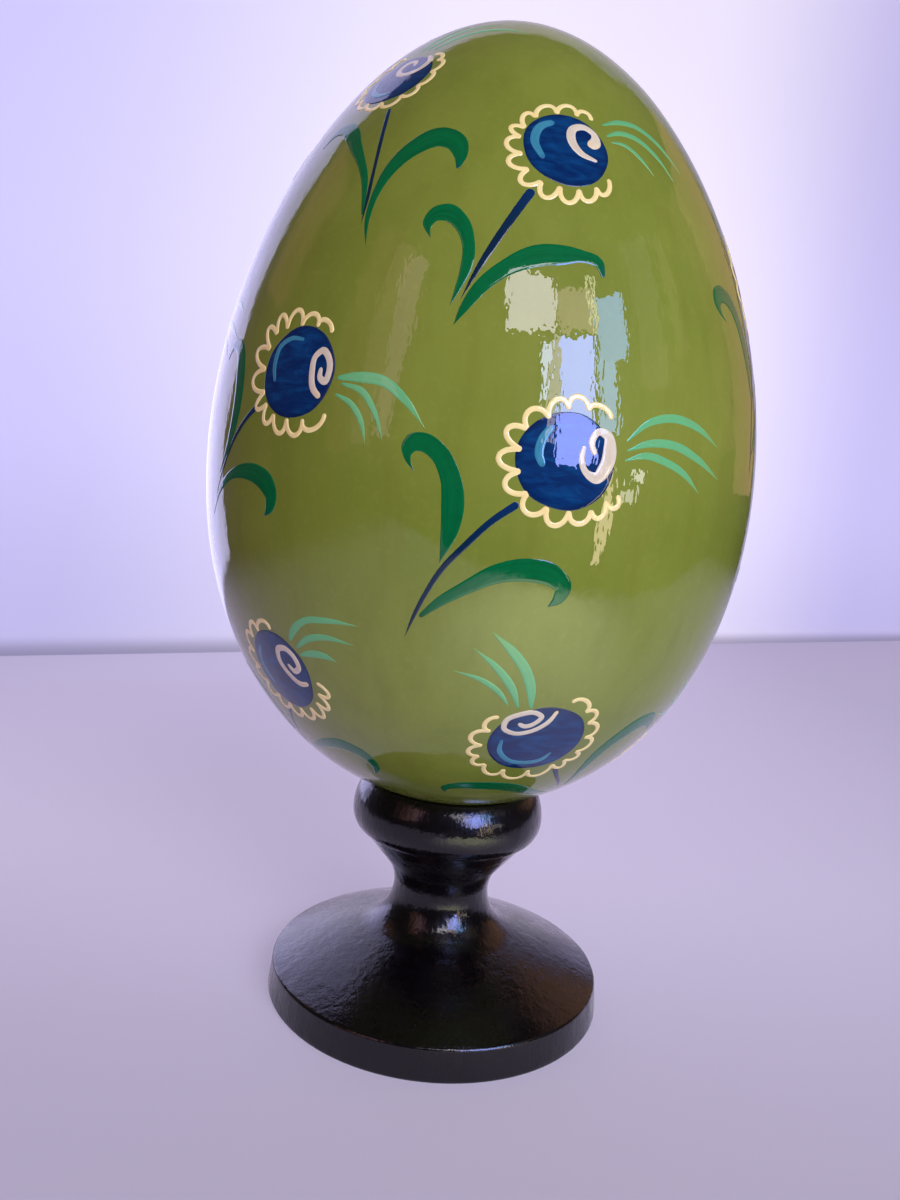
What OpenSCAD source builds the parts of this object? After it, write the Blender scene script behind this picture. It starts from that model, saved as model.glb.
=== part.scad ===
// Painted wooden egg on a small turned display stand.
// The egg stands broad end down in the stand's shallow cup and lifts straight out.
// Millimetres, +Z up. The origin is the centre of the foot's underside.

/* [Egg] */
// Height of the egg along its axis
egg_height = 110; // [90:1:130]
// Largest diameter of the egg
egg_diameter = 78; // [66:1:90]
// How much fuller the lower half is than the upper half (0 is an ellipsoid)
egg_fullness = 0.13; // [0.05:0.01:0.2]

/* [Seat] */
// Angle up from the egg's lower pole at which the cup holds it, in degrees
seat_angle = 16.7; // [14:0.1:18]
// Height of the seat ring above the table
seat_height = 33.2; // [30:0.1:38]
// Running gap between the egg and the cup's lip
seat_gap = 0.15; // [0.05:0.01:0.3]
// Radius that rounds the cup's lip
lip_radius = 0.4; // [0.3:0.1:0.6]
// Angle on that rounding at which the bead's curve joins it, in degrees
lip_angle = 40; // [36:1:50]

/* [Cup] */
// Largest radius of the rounded bead around the cup
bead_radius = 14.5; // [14:0.1:17]
// Height of the bead's widest line
bead_height = 28.3; // [27.8:0.1:29]
// Height of the crisp crease under the bead
crease_height = 25.2; // [24.5:0.1:26]
// Slope of the bead's underside where it meets the crease, in degrees
crease_angle = 30; // [26:1:36]
// Width of the small ledge at the crease
crease_step = 0.2; // [0.1:0.05:0.4]
// Height of the hollow's flat floor
hollow_floor = 26.3; // [25.5:0.1:27]
// Radius of the hollow's flat floor
hollow_floor_radius = 6.5; // [4:0.1:8]

/* [Neck] */
// Radius of the neck at its narrowest
neck_radius = 7.3; // [6:0.1:9]
// Height of the neck's narrowest line
neck_height = 16.5; // [15:0.1:18]
// Radius of the hollow curve above the narrowest line
neck_curve_top = 6; // [5:0.1:7]
// Slope at which the flare above the neck leaves that curve, in degrees
flare_angle = 40; // [34:1:44]
// Radius of the hollow curve below the narrowest line
neck_curve_bottom = 7; // [6:0.1:7.5]
// Slope at which the foot's top leaves the lower curve, in degrees
foot_slope = 18; // [14:1:22]

/* [Foot] */
// Diameter of the foot at the table
foot_diameter = 50.8; // [46:0.1:60]
// Height of the foot's outer band
band_height = 4.8; // [4:0.1:6]
// How far the band leans in from bottom to top
band_lean = 0.4; // [0:0.1:1]
// Radius that rounds the band's lower edge
foot_edge_low = 0.5; // [0.2:0.1:0.8]
// Radius that rounds the band's upper edge
foot_edge_top = 0.6; // [0.2:0.1:0.8]
// Angle on that rounding at which the foot's top leaves it, in degrees
foot_edge_angle = 64; // [58:1:70]
// How far the foot's top bulges above a straight cone
foot_crown = 0.22; // [0:0.02:0.5]

/* [Hidden] */
$fn = 96;

egg_steps = 90;
arc_steps = 12;

// The egg's widest line, where the slope of its outline formula is zero.
widest_cos = (sqrt(1 + 8 * egg_fullness ^ 2) - 1) / (4 * -egg_fullness);
widest_factor = sqrt(1 - widest_cos ^ 2) * (1 - egg_fullness * widest_cos);
egg_scale = egg_diameter / 2 / widest_factor;

// Outline of the egg at an angle from its upper pole, about its middle.
function egg_r(angle) = egg_scale * sin(angle) * (1 - egg_fullness * cos(angle));
function egg_z(angle) = egg_height / 2 * cos(angle);

// Slope of the egg's underside where the cup holds it, and the ring it rests on.
function egg_slope(angle) =
    atan2(egg_z(angle - 0.1) - egg_z(angle + 0.1), egg_r(angle - 0.1) - egg_r(angle + 0.1));
seat_at = 180 - seat_angle;
seat_radius = egg_r(seat_at);
seat_slope = egg_slope(seat_at);
egg_middle = seat_height - egg_z(seat_at);

// The lip's rounding sits just below the egg, square to its underside.
lip_reach = lip_radius + seat_gap;
lip_r = seat_radius + lip_reach * sin(seat_slope);
lip_z = seat_height - lip_reach * cos(seat_slope);
lip_centre = [lip_r, lip_z];

// The flare above the neck runs straight up to the crease.
flare_start_r = neck_radius + neck_curve_top * (1 - cos(flare_angle));
flare_start_z = neck_height + neck_curve_top * sin(flare_angle);
flare_end_r = flare_start_r + (crease_height - flare_start_z) * tan(flare_angle);

// The foot's top runs from the neck's lower curve out to the band.
foot_radius = foot_diameter / 2;
foot_edge_centre = [foot_radius - band_lean - foot_edge_top, band_height - foot_edge_top];

// Points along an arc about a centre [r, z], from one angle to another.
function arc(centre, radius, from, to, steps = arc_steps) =
    [for (i = [0:steps]) let (a = from + (to - from) * i / steps)
        centre + radius * [cos(a), sin(a)]];

// Points along part of an oval about a centre [r, z].
function oval(centre, half_r, half_z, from, to, steps = arc_steps) =
    [for (i = [0:steps]) let (a = from + (to - from) * i / steps)
        centre + [half_r * cos(a), half_z * sin(a)]];

// Half of a bead, from its widest line to an end point that it meets at a given slope.
function bead_half(widest, end, slope) =
    let (
        narrowing = widest.x - end.x,
        rise = end.y - widest.y,
        part = narrowing / (abs(rise) / tan(slope) - narrowing),
        half_r = narrowing / (1 - part),
        half_z = rise / sqrt(1 - part ^ 2)
    )
    oval([widest.x - half_r, widest.y], half_r, half_z, 0, acos(part));

// The same points in the opposite order.
function reversed(points) = [for (i = [len(points) - 1:-1:0]) points[i]];

// Points along a straight line that bulges upwards by crown at its middle.
function crowned(start, end, crown, steps = arc_steps) =
    [for (i = [1:steps - 1]) let (s = i / steps)
        start + (end - start) * s + [0, 4 * crown * s * (1 - s)]];

// The foot: its underside, its band and its low domed top.
foot_edge_outline = arc(foot_edge_centre, foot_edge_top, 0, foot_edge_angle, 6);
neck_lower_outline = arc([neck_radius + neck_curve_bottom, neck_height], neck_curve_bottom,
    270 - foot_slope, 180);
foot_outline = concat(
    [[0, 0]],
    arc([foot_radius - foot_edge_low, foot_edge_low], foot_edge_low, -90, 0, 6),
    foot_edge_outline,
    crowned(foot_edge_outline[6], neck_lower_outline[0], foot_crown)
);

// The neck: in from the foot, round its narrowest line and out to the flare.
neck_outline = concat(
    neck_lower_outline,
    arc([neck_radius + neck_curve_top, neck_height], neck_curve_top, 180 - 6, 180 - flare_angle),
    [[flare_end_r, crease_height]]
);

// The bead: out from the crease, round its widest line and in to the lip.
bead_widest = [bead_radius, bead_height];
lip_outline = arc(lip_centre, lip_radius, lip_angle, 180, 8);
bead_outline = concat(
    reversed(bead_half(bead_widest, [flare_end_r + crease_step, crease_height], crease_angle)),
    [for (p = bead_half(bead_widest, lip_outline[0], 90 - lip_angle)) if (p != bead_widest) p],
    [for (p = lip_outline) if (p != lip_outline[0]) p]
);

// The hollow under the egg: a rounded wall down to a flat floor.
hollow_outline = concat(
    oval([hollow_floor_radius, lip_z], lip_r - lip_radius - hollow_floor_radius,
        lip_z - hollow_floor, -6, -90),
    [[0, hollow_floor]]
);

// The solid turned wooden egg, broad end down.
module egg() {
    color("olivedrab")
    translate([0, 0, egg_middle])
    rotate_extrude()
    polygon([for (i = [0:egg_steps]) let (a = 180 * i / egg_steps)
        [max(egg_r(a), 0), egg_z(a)]]);
}

// The stand, turned in one piece: foot, neck, bead and cup.
module stand() {
    color("black")
    rotate_extrude()
    polygon(concat(foot_outline, neck_outline, bead_outline, hollow_outline));
}

egg();
stand();
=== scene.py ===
"""A painted wooden egg on a small turned stand: its lacquered looks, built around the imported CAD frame.

The object's shapes are worked out in millimetres, in the part's own frame, and turned into metres when a
mesh is made. The floor, backdrop, lights and camera are in metres.
"""
import math
import bmesh
import bpy
import numpy as np
from mathutils import Matrix, Vector


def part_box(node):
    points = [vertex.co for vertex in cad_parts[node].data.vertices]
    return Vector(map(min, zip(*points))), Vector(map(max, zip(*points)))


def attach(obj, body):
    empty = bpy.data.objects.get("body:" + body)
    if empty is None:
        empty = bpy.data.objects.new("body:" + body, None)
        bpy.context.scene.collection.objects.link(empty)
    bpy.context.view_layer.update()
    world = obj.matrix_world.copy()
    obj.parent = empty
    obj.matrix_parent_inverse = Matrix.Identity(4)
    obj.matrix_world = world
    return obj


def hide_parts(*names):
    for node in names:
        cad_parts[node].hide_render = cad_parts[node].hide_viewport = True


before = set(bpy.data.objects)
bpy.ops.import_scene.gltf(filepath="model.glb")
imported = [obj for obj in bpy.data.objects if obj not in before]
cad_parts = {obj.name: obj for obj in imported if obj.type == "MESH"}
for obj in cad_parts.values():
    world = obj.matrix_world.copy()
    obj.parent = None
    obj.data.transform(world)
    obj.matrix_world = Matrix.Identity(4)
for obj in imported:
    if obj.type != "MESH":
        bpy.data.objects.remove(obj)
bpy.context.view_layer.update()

MM = 0.001
TINY = 1e-9             # keeps a division from being by zero

# ---------------------------------------------------------------- the egg's own shape

EGG_LOW, EGG_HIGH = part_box("egg")
EGG_HALF_HEIGHT = (EGG_HIGH.z - EGG_LOW.z) / 2 / MM
EGG_MIDDLE = (EGG_HIGH.z + EGG_LOW.z) / 2 / MM
EGG_RADIUS = (EGG_HIGH.x - EGG_LOW.x) / 2 / MM
EGG_FULLNESS = 0.13     # how much fuller the lower half is; the rest of the egg's formula follows from it
WIDEST_COS = (1 - math.sqrt(1 + 8 * EGG_FULLNESS ** 2)) / (4 * EGG_FULLNESS)
EGG_SCALE = EGG_RADIUS / (math.sqrt(1 - WIDEST_COS ** 2) * (1 - EGG_FULLNESS * WIDEST_COS))
POLE = np.array([0.0, 0.0, 1.0])
SEARCH_STEPS = 5        # steps that bring a point onto the egg
POLE_MARGIN = 1e-5      # no such point comes nearer a pole than this angle


def egg_outline(angle):
    """Radius and height of the egg's outline at an angle from its upper pole."""
    radius = EGG_SCALE * np.sin(angle) * (1 - EGG_FULLNESS * np.cos(angle))
    return radius, EGG_MIDDLE + EGG_HALF_HEIGHT * np.cos(angle)


def outline_slopes(angle):
    """First and second derivatives of the outline's radius and height."""
    radius_1 = EGG_SCALE * (np.cos(angle) - EGG_FULLNESS * np.cos(2 * angle))
    radius_2 = EGG_SCALE * (2 * EGG_FULLNESS * np.sin(2 * angle) - np.sin(angle))
    height_1 = -EGG_HALF_HEIGHT * np.sin(angle)
    height_2 = -EGG_HALF_HEIGHT * np.cos(angle)
    return radius_1, height_1, radius_2, height_2


def onto_egg(points):
    """The nearest points on the egg, and the outward directions there."""
    out = np.hypot(points[:, 0], points[:, 1])
    angle = np.arctan2(out / EGG_RADIUS, (points[:, 2] - EGG_MIDDLE) / EGG_HALF_HEIGHT)
    for _ in range(SEARCH_STEPS):
        radius, height = egg_outline(angle)
        radius_1, height_1, radius_2, height_2 = outline_slopes(angle)
        miss = (radius - out) * radius_1 + (height - points[:, 2]) * height_1
        bend = radius_1 ** 2 + height_1 ** 2
        bend += (radius - out) * radius_2 + (height - points[:, 2]) * height_2
        angle = np.clip(angle - miss / bend, POLE_MARGIN, math.pi - POLE_MARGIN)
    radius, height = egg_outline(angle)
    radius_1, height_1, _, _ = outline_slopes(angle)
    east = points[:, 0] / np.maximum(out, TINY)
    north = points[:, 1] / np.maximum(out, TINY)
    steep = np.hypot(radius_1, height_1)
    side, rise = -height_1 / steep, radius_1 / steep
    return (np.column_stack([radius * east, radius * north, height]),
            np.column_stack([side * east, side * north, rise]))


WAVELENGTH_SPREAD = (0.6, 1.7)


def waves(seed, count, wavelength, height):
    """A smooth random relief: a sum of sine waves in random directions. Millimetres."""
    rng = np.random.default_rng(seed)
    direction = rng.normal(size=(count, 3))
    direction /= np.linalg.norm(direction, axis=1, keepdims=True)
    numbers = 2 * math.pi / (wavelength * rng.uniform(*WAVELENGTH_SPREAD, count))
    phases = rng.uniform(0, 2 * math.pi, count)
    share = height / math.sqrt(count)

    def relief(points):
        total = np.zeros(len(points))
        for vector, number, phase in zip(direction, numbers, phases):
            total += share * np.sin(number * (points @ vector) + phase)
        return total

    return relief


lacquer_waves = waves(seed=11, count=14, wavelength=17, height=0.022)
lacquer_ripples = waves(seed=12, count=18, wavelength=5.5, height=0.006)


def egg_relief(points):
    """How far the lacquer stands above or below the true egg."""
    return lacquer_waves(points) + lacquer_ripples(points)


# ---------------------------------------------------------------- mesh helpers

def make_piece(name, points, faces, material, body, attributes=None, sharp=40):
    """A closed, smooth-shaded mesh piece that rides on a body. Points are in millimetres."""
    mesh = bpy.data.meshes.new(name)
    mesh.from_pydata((np.asarray(points) * MM).tolist(), [], faces)
    for key, values in (attributes or {}).items():
        layer = mesh.attributes.new(key, "FLOAT", "POINT")
        layer.data.foreach_set("value", np.asarray(values, np.float32))
    work = bmesh.new()
    work.from_mesh(mesh)
    bmesh.ops.recalc_face_normals(work, faces=work.faces)
    work.to_mesh(mesh)
    work.free()
    mesh.polygons.foreach_set("use_smooth", [True] * len(mesh.polygons))
    mesh.set_sharp_from_angle(angle=math.radians(sharp))
    mesh.materials.append(material)
    piece = bpy.data.objects.new(name, mesh)
    bpy.context.scene.collection.objects.link(piece)
    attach(piece, body)
    return piece


def turned(outline, segments, relief):
    """Points and faces of a solid turned from an outline of (radius, height) that starts and ends
    on the axis. relief moves each point along the outline's normal."""
    outline = np.asarray(outline, float)
    tangent = np.gradient(outline, axis=0)
    tangent /= np.maximum(np.linalg.norm(tangent, axis=1, keepdims=True), TINY)
    ring = outline[1:-1]
    across = np.column_stack([tangent[1:-1, 1], -tangent[1:-1, 0]])
    turn = np.arange(segments) * 2 * math.pi / segments
    cosine, sine = np.cos(turn), np.sin(turn)
    points = np.stack([np.outer(ring[:, 0], cosine), np.outer(ring[:, 0], sine),
                       np.repeat(ring[:, 1:2], segments, axis=1)], axis=-1).reshape(-1, 3)
    normals = np.stack([np.outer(across[:, 0], cosine), np.outer(across[:, 0], sine),
                        np.repeat(across[:, 1:2], segments, axis=1)], axis=-1).reshape(-1, 3)
    points = points + normals * relief(points)[:, None]
    first, last = len(points), len(points) + 1
    ends = [[0, 0, outline[0, 1]], [0, 0, outline[-1, 1]]]
    faces = []
    rows = len(ring)
    for row in range(rows - 1):
        for k in range(segments):
            a, b = row * segments + k, row * segments + (k + 1) % segments
            faces.append((a, b, b + segments, a + segments))
    for k in range(segments):
        after = (k + 1) % segments
        faces.append((first, after, k))
        top = (rows - 1) * segments
        faces.append((last, top + k, top + after))
    return np.vstack([points, ends]), faces


# ---------------------------------------------------------------- brush strokes

class Spot:
    """A place on the egg that a flower is drawn around, in millimetres along the surface:
    x runs to the right as seen from outside and y towards the narrow end."""

    STEPS = 18

    def __init__(self, longitude, height, turn=0.0, size=1.0):
        around = math.radians(longitude)
        angle = math.acos((height - EGG_MIDDLE) / EGG_HALF_HEIGHT)
        radius, _ = egg_outline(angle)
        at = np.array([[radius * math.sin(around), -radius * math.cos(around), height]])
        self.centre, normal = onto_egg(at)
        right = np.cross(POLE, normal[0])
        right /= np.linalg.norm(right)
        up = np.cross(normal[0], right)
        lean = math.radians(turn)
        self.right = size * (math.cos(lean) * right + math.sin(lean) * up)
        self.up = size * (math.cos(lean) * up - math.sin(lean) * right)

    def place(self, flat):
        """Surface points and outward directions of flat drawing points."""
        flat = np.asarray(flat, float)
        step = flat[:, :1] * self.right + flat[:, 1:2] * self.up
        length = np.linalg.norm(step, axis=1, keepdims=True)
        heading = step / np.maximum(length, TINY)
        length = length / self.STEPS
        points = np.repeat(self.centre, len(flat), axis=0)
        for _ in range(self.STEPS):
            points, normals = onto_egg(points + heading * length)
            heading = heading - np.sum(heading * normals, axis=1, keepdims=True) * normals
            heading /= np.maximum(np.linalg.norm(heading, axis=1, keepdims=True), TINY)
        return points, normals


BEVEL = 0.13            # width of a stroke's rounded shoulder
SUNK = 0.012            # how far a stroke's rim lies below the lacquer
ROOT = 0.07             # how far its underside lies below the lacquer
LIFT_SPREAD = (0.9, 1.1)
THINNEST = 0.02         # least half-width of a stroke
STROKE_STEP = 0.4       # usual distance between the rows of points along a stroke
END_CROWDING = 1.3      # more rows than that, because they crowd towards its ends
LEAST_ROWS = 10
ACROSS = (1 - np.cos(np.linspace(0, math.pi, 9))) / 2    # its columns, from 0 at one edge to 1

DISC_SEGMENTS = 96
DISC_RINGS = (1.0, 0.993, 0.98, 0.95, 0.88, 0.76, 0.6, 0.42, 0.22)    # as shares of its radius
DISC_UNEVENNESS = 0.012
DISC_LOBES = (2, 3, 5, 7)
DISC_SIZE = 6           # about its radius, which scales its across value


def shoulder(distance, lift):
    """Height of paint at a distance from its edge: a rounded rim and a flat top."""
    part = np.clip(distance / BEVEL, 0, 1)
    return -SUNK + (lift + SUNK) * np.sin(part * math.pi / 2)


def smooth_line(points, spacing=STROKE_STEP):
    """A smooth curve through given points, sampled more finely near its ends."""
    points = np.asarray(points, float)
    chord = np.linalg.norm(np.diff(points[:, :2], axis=0), axis=1)
    reach = np.concatenate([[0], np.cumsum(chord)])
    slope = np.gradient(points, reach, axis=0)
    count = max(LEAST_ROWS, int(reach[-1] / spacing * END_CROWDING))
    at = reach[-1] * (1 - np.cos(np.linspace(0, math.pi, count + 1))) / 2
    part = np.clip(np.searchsorted(reach, at, side="right") - 1, 0, len(points) - 2)
    gap = chord[part][:, None]
    t = (at - reach[part])[:, None] / gap
    return ((2 * t ** 3 - 3 * t ** 2 + 1) * points[part]
            + (t ** 3 - 2 * t ** 2 + t) * gap * slope[part]
            + (3 * t ** 2 - 2 * t ** 3) * points[part + 1]
            + (t ** 3 - t ** 2) * gap * slope[part + 1])


def ribbon(points, width=None, spacing=STROKE_STEP):
    """Both edges of a stroke along a line of (x, y, width) points, or of (x, y) with one width."""
    points = np.asarray(points, float)
    if width is not None:
        points = np.column_stack([points[:, :2], np.full(len(points), float(width))])
    line = smooth_line(points, spacing)
    run = np.linalg.norm(np.diff(line[:, :2], axis=0), axis=1)
    reach = np.concatenate([[0], np.cumsum(run)])
    half = np.maximum(line[:, 2], 0) / 2
    to_end = np.minimum(reach, reach[-1] - reach)
    part = np.clip(to_end / np.maximum(half, TINY), 0, 1)
    half = np.maximum(half * np.sqrt(1 - (1 - part) ** 2), THINNEST)
    tangent = np.gradient(line[:, :2], reach, axis=0)
    tangent /= np.linalg.norm(tangent, axis=1, keepdims=True)
    side = np.column_stack([-tangent[:, 1], tangent[:, 0]]) * half[:, None]
    return line[:, :2] + side, line[:, :2] - side


def blade(outer, inner):
    """Both edges of a leaf drawn by its outer and inner edge, each from base to tip."""
    outer_line = smooth_line(outer)
    inner_line = smooth_line(inner)
    count = max(len(outer_line), len(inner_line))
    part = np.linspace(0, 1, count)

    def even(line):
        share = np.linspace(0, 1, len(line))
        return np.column_stack([np.interp(part, share, line[:, k]) for k in (0, 1)])

    left, right = even(outer_line), even(inner_line)
    middle = (left + right) / 2
    half = (left - right) / 2
    thin = np.linalg.norm(half, axis=1, keepdims=True)
    tangent = np.gradient(middle, axis=0)
    side = np.column_stack([-tangent[:, 1], tangent[:, 0]])
    side /= np.maximum(np.linalg.norm(side, axis=1, keepdims=True), TINY)
    side *= np.sign(np.sum(half * side, axis=1, keepdims=True) + TINY)
    half = np.where(thin < THINNEST, side * THINNEST, half)
    return middle + half, middle - half


class Paint:
    """One colour of paint: many thin closed strokes laid on the egg, joined into one piece."""

    def __init__(self, name, slot, lift):
        self.name, self.slot, self.lift = name, slot, lift
        self.points, self.faces = [], []
        self.along, self.across, self.tone = [], [], []
        self.count = 0
        self.rng = np.random.default_rng(len(name))

    def add(self, spot, flat, heights, faces, along, across):
        """Adds one closed stroke, given flat drawing points and heights above the lacquer."""
        points, normals = spot.place(flat)
        points = points + normals * (egg_relief(points) + heights)[:, None]
        self.points.append(points)
        self.faces.extend(tuple(k + self.count for k in face) for face in faces)
        self.count += len(points)
        self.along.append(along)
        self.across.append(across)
        self.tone.append(np.full(len(points), self.rng.random()))

    def strip(self, spot, edges):
        """A stroke between two edges."""
        left, right = edges
        rows, columns = len(left), len(ACROSS)
        width = np.linalg.norm(left - right, axis=1)
        lift = self.lift * self.rng.uniform(*LIFT_SPREAD)
        top = left[:, None, :] * (1 - ACROSS[:, None]) + right[:, None, :] * ACROSS[:, None]
        edge_distance = np.minimum(ACROSS, 1 - ACROSS)[None, :] * width[:, None]
        height = shoulder(edge_distance, lift)
        flat = np.concatenate([top, left[:, None, :], right[:, None, :]], axis=1)
        height = np.concatenate([height, np.full((rows, 2), -ROOT)], axis=1)
        across = np.tile(np.concatenate([ACROSS, [0, 1]]) * 2 - 1, rows)
        along = np.repeat(np.linspace(0, 1, rows), columns + 2)
        loop = list(range(columns)) + [columns + 1, columns]
        size = columns + 2
        faces = []
        for row in range(rows - 1):
            for k, here in enumerate(loop):
                after = loop[(k + 1) % size]
                base = row * size
                faces.append((base + here, base + after, base + size + after, base + size + here))
        faces.append(tuple(loop))
        faces.append(tuple((rows - 1) * size + k for k in reversed(loop)))
        self.add(spot, flat.reshape(-1, 2), height.ravel(), faces, along, across)

    def disc(self, spot, centre, radius_x, radius_y):
        """A filled round spot with a slightly uneven edge."""
        segments, rings = DISC_SEGMENTS, DISC_RINGS
        turn = np.arange(segments) * 2 * math.pi / segments
        uneven = np.ones(segments)
        for lobes in DISC_LOBES:
            phase = self.rng.uniform(0, 2 * math.pi)
            uneven += DISC_UNEVENNESS / math.sqrt(lobes) * np.sin(lobes * turn + phase)
        edge = np.column_stack([radius_x * uneven * np.cos(turn), radius_y * uneven * np.sin(turn)])
        flat, height, along = [], [], []
        for share in rings:
            flat.append(edge * share)
            height.append(shoulder(np.full(segments, (1 - share) * min(radius_x, radius_y)), self.lift))
            along.append(np.full(segments, share))
        flat.append(edge)
        height.append(np.full(segments, -ROOT))
        along.append(np.ones(segments))
        flat.append(np.zeros((2, 2)))
        height.append(np.array([self.lift, -ROOT]))
        along.append(np.zeros(2))
        top_centre = (len(rings) + 1) * segments
        inner, under = (len(rings) - 1) * segments, len(rings) * segments
        faces = []
        for k in range(segments):
            after = (k + 1) % segments
            for start in range(0, inner, segments):
                faces.append((start + k, start + after, start + segments + after, start + segments + k))
            faces.append((inner + k, inner + after, top_centre))
            faces.append((k, under + k, under + after, after))
            faces.append((under + after, under + k, top_centre + 1))
        flat = np.vstack(flat) + np.asarray(centre)
        across = flat[:, 1] / DISC_SIZE
        self.add(spot, flat, np.concatenate(height), faces, np.concatenate(along), across)

    def piece(self, material):
        """The joined mesh piece."""
        attributes = {"along": np.concatenate(self.along), "across": np.concatenate(self.across),
                      "tone": np.concatenate(self.tone)}
        return make_piece(self.name, np.vstack(self.points), self.faces, material, "egg",
                          attributes)


# ---------------------------------------------------------------- the flowers
# Each flower is drawn in millimetres about its own centre. Strokes are (x, y, width) points, leaves may
# be (outer edge, inner edge), and the looped border is its tips and the dips between them.

UPPER = {
    "disc": ((-0.1, 0.2), 5.0, 5.2),
    "tips": [(2.4, 6.6), (0.4, 7.0), (-2.3, 6.4), (-4.8, 4.7), (-6.4, 2.6), (-7.0, 0.2), (-6.8, -2.5),
             (-5.4, -5.2), (-2.8, -6.9), (-0.2, -7.2), (2.3, -6.5), (4.4, -5.0)],
    "dips": [(3.2, 5.4), (1.4, 5.5), (-1.0, 5.3), (-3.5, 4.3), (-4.8, 2.6), (-5.3, 1.2), (-5.2, -1.2),
             (-4.6, -3.3), (-3.2, -4.8), (-1.1, -5.2), (1.1, -5.2), (3.2, -4.4), (4.8, -2.8)],
    "crescent": [(-1.4, 3.9, 0.9), (-3.0, 3.0, 1.15), (-3.8, 0.8, 1.15), (-2.9, -1.7, 0.8)],
    "spiral": [(2.5, 1.2, 1.3), (3.4, 1.9, 1.5), (3.4, 3.1, 1.0), (2.2, 3.9, 1.0), (0.8, 3.3, 1.1),
               (0.5, 1.6, 1.2), (1.5, -0.1, 1.0), (3.5, -0.8, 0.5)],
    "tufts": [[(4.6, 5.2, 0.3), (7, 6.7, 0.8), (9.5, 7.4, 0.9), (12.6, 6.8, 0.8), (15, 5.3, 0.5),
               (16.6, 4.0, 0.1)],
              [(5, 3.6, 0.3), (7, 4.9, 0.8), (9.5, 5.2, 0.9), (12, 4.2, 0.8), (15, 1.5, 0.1)],
              [(5.6, 2.9, 0.2), (7.5, 3.2, 0.6), (9.5, 2.2, 0.6), (11.5, 0.4, 0.1)]],
    "stem": [(-4.2, -6, 1.1), (-7, -10.5, 1.0), (-9.6, -14.8, 0.8), (-10.8, -16.9, 0.5), (-12.2, -19.6, 0)],
    "leaves": [([(-13.2, -19.9), (-12, -18), (-10.6, -15), (-10.5, -12.5), (-11.3, -9.5), (-13.2, -7.6),
                 (-15.2, -7.8), (-16.3, -9.4), (-15.4, -11.7)],
                [(-13.2, -19.9), (-12.7, -18), (-12.1, -15.5), (-11.9, -13), (-12.7, -10.8), (-13.7, -9.8),
                 (-14.7, -9.6), (-15.3, -10.2), (-15.4, -11.7)]),
               [(-12.8, -22.1, 0), (-11.5, -20, 1.1), (-9.5, -17.5, 1.7), (-7, -15.6, 2.0),
                (-4, -14.2, 2.6), (-1, -13.7, 2.4), (1.5, -13.5, 1.5), (3.3, -13.9, 1.3),
                (3.9, -15.5, 0.5)]],
}

MIDDLE = {
    "disc": ((-0.6, 0), 5.6, 5.3),
    "tips": [(2.8, 6.3), (0.1, 7.0), (-2.3, 6.4), (-4.9, 5.1), (-7.4, 2.6), (-8.0, -0.3), (-7.0, -3.2),
             (-4.4, -5.8), (-1.3, -6.9), (1.6, -6.5), (4.1, -5.6), (5.8, -4.4)],
    "dips": [(4.2, 5.0), (1.5, 5.6), (-0.8, 5.5), (-2.9, 4.3), (-5.2, 3.0), (-5.6, 0.8), (-5.5, -1.5),
             (-4.5, -3.7), (-2.2, -5.0), (0.3, -5.2), (2.8, -4.9), (4.4, -3.8), (5.8, -3.0)],
    "crescent": [(-2.5, 3.6, 0.9), (-3.5, 2, 1.15), (-3.7, 0.5, 1.15), (-3.1, -0.8, 0.9)],
    "spiral": [(2.6, 1.0, 0.7), (2.1, 2.3, 0.9), (2.8, 3.5, 0.9), (3.9, 3.2, 1.2), (4.3, 1.7, 1.7),
               (4.0, -0.1, 1.7), (3.0, -1.4, 1.4), (1.8, -1.0, 0.9), (1.1, 0.4, 0.8), (1.3, 1.9, 0.6)],
    "tufts": [[(6.3, 2.9, 0.2), (9, 5.2, 0.8), (12.5, 6.2, 1.0), (16.5, 5.8, 0.9), (21, 4.0, 0.1)],
              [(6.5, 1.9, 0.2), (9, 2.9, 0.8), (13, 3.2, 1.0), (17, 2.2, 0.9), (21.7, 0.2, 0.1)],
              [(6.3, 0.8, 0.2), (9, 1.6, 0.8), (12, 1.2, 0.9), (15, 0.2, 0.8), (18, -1.8, 0.1)]],
    "stem": [(-5.4, -4.9, 0.9), (-8.2, -7.2, 0.8), (-10.5, -9.8, 0.8), (-12.8, -12.7, 0.7),
             (-14.4, -15.8, 0.6), (-15.6, -19, 0.45), (-16.4, -21.7, 0)],
    "leaves": [([(-13.2, -12.2), (-11.6, -9), (-11.1, -5.5), (-12, -2), (-14, 0.8), (-16, 1.8),
                 (-17.8, 1.5), (-18.5, 0.2), (-17.9, -1.4), (-16.8, -2.5)],
                [(-13.2, -12.2), (-13.4, -9), (-13.6, -6), (-14, -3), (-15.1, -1.0), (-16.2, -0.3),
                 (-16.9, -0.3), (-17.3, -0.7), (-17.3, -1.4), (-16.8, -2.5)]),
               [(-14.8, -18.6, 0.5), (-13, -16.8, 1.1), (-10, -14.6, 1.6), (-6.5, -12.6, 2.3),
                (-3, -12, 2.7), (-0.4, -12.5, 2.5), (0.9, -13.7, 2.0), (0.5, -15, 1.4), (-0.6, -16, 0)]],
}

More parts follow.
